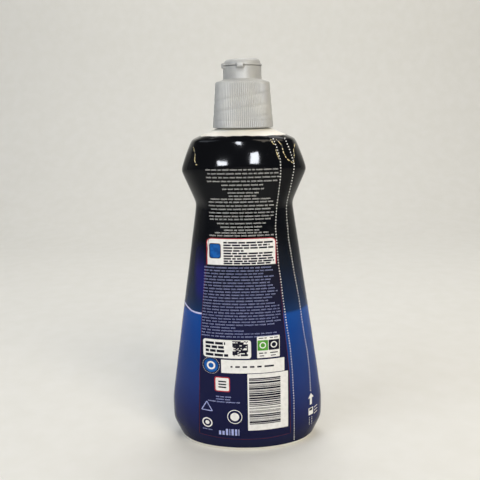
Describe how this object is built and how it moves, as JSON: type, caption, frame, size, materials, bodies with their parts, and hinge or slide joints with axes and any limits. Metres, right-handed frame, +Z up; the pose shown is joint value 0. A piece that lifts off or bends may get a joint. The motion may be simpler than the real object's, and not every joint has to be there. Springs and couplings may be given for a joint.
{
  "type": "rinse aid bottle",
  "caption": "Waisted white plastic bottle in a glossy dark blue shrink sleeve, with a ribbed silver screw cap and a flip-top lid on its spout.",
  "frame": {"origin": "centre of the foot, on the surface the bottle stands on", "axes": "+Z up along the neck, +X to the right of the printed side and across its width, -Y towards the viewer of the printed side"},
  "size_m": [0.0916, 0.0502, 0.2256],
  "materials": {
    "bottle_hdpe": "white blow-moulded polyethylene with a soft sheen",
    "sleeve_film": "very glossy printed shrink film, navy to bright blue",
    "cap_plastic": "silver-grey moulded polypropylene with a satin sheen"
  },
  "bodies": {
    "bottle_body": {"bottle": "bottle_hdpe", "shrink_sleeve": "sleeve_film"},
    "cap_body": {"screw_cap": "cap_plastic"},
    "lid_body": {"flip_lid": "cap_plastic"}
  },
  "joints": [
    {"name": "cap_lift", "type": "slide", "parent": "bottle_body", "child": "cap_body", "axis": [0, 0, 1], "range_m": [0, 0.03]},
    {"name": "lid_flip", "type": "hinge", "parent": "cap_body", "child": "lid_body", "pos_m": [-0.00708, -0.00906, 0.2214], "axis": [0.788, -0.6157, 0], "range_deg": [0, 150]}
  ]
}
